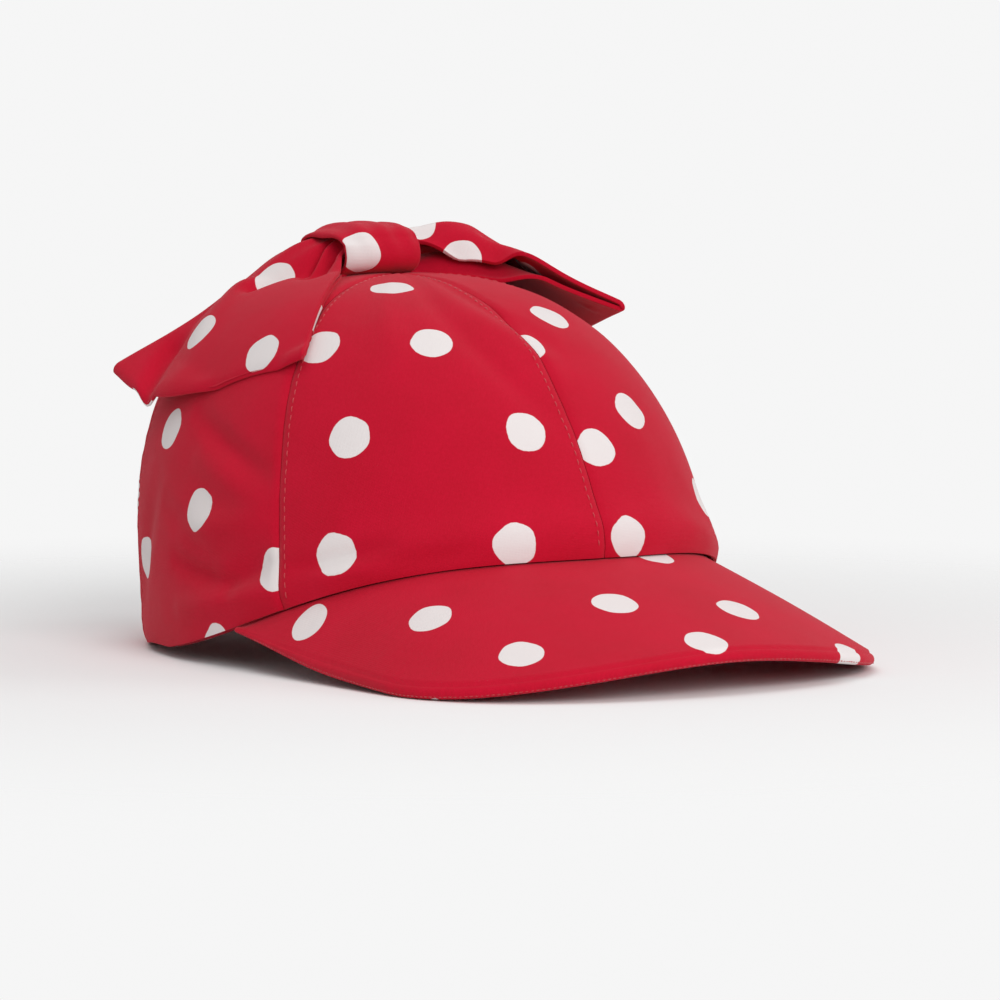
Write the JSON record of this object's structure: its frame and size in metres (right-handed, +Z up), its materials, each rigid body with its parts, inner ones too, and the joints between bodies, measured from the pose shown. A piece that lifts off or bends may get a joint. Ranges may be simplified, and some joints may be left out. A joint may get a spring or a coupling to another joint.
{
  "type": "children's cap",
  "caption": "Child's polka-dot cotton cap with panelled crown, curved visor, hook-and-loop rear adjuster and a large ribbon bow on top.",
  "frame": {"origin": "centre of the head opening, in the plane that the cap stands on", "axes": "+Z up through the crown, -Y the way the wearer looks, +X the wearer's left"},
  "size_m": [0.158, 0.2395, 0.124],
  "materials": {
    "red_cotton": "printed cotton poplin, red with white dots",
    "red_lining": "plain cotton twill",
    "seam_tape": "plain woven tape",
    "stiffener": "fused open-weave stiffener",
    "visor_board": "smooth moulded sheet",
    "hook_and_loop": "nylon hooks and loops",
    "label": "satin ribbon"
  },
  "bodies": {
    "crown": {"front_panel_left": "red_cotton", "front_panel_right": "red_cotton", "side_panel_left": "red_cotton", "side_panel_right": "red_cotton", "rear_panel_left": "red_cotton", "rear_panel_right": "red_cotton", "seam_tape_front": "seam_tape", "seam_tape_rear": "seam_tape", "seam_tape_side_left": "seam_tape", "seam_tape_side_right": "seam_tape", "seam_tape_rear_side_left": "seam_tape", "seam_tape_rear_side_right": "seam_tape", "front_stiffener_left": "stiffener", "front_stiffener_right": "stiffener", "sweatband": "red_lining", "care_label": "label", "rear_opening_binding": "red_lining", "loop_tab": "red_cotton", "loop_patch": "hook_and_loop", "visor_top_cover": "red_cotton", "visor_board": "visor_board", "visor_under_cover": "red_cotton", "bow_knot": "red_cotton"},
    "adjuster": {"hook_tab": "red_cotton", "hook_patch": "hook_and_loop"},
    "bow_left": {"bow_wing_left": "red_cotton"},
    "bow_right": {"bow_wing_right": "red_cotton"}
  },
  "joints": [
    {"name": "adjuster_peel", "type": "hinge", "parent": "crown", "child": "adjuster", "pos_m": [-0.03917, 0.08601, 0.0105], "axis": [0, 0, 1], "range_deg": [0, 100]},
    {"name": "bow_left_lift", "type": "hinge", "parent": "crown", "child": "bow_left", "pos_m": [0.0133, 0.03, 0.121], "axis": [0, -1, 0], "range_deg": [0, 30]},
    {"name": "bow_right_lift", "type": "hinge", "parent": "crown", "child": "bow_right", "pos_m": [-0.0133, 0.03, 0.119], "axis": [0, 1, 0], "range_deg": [0, 30]}
  ]
}
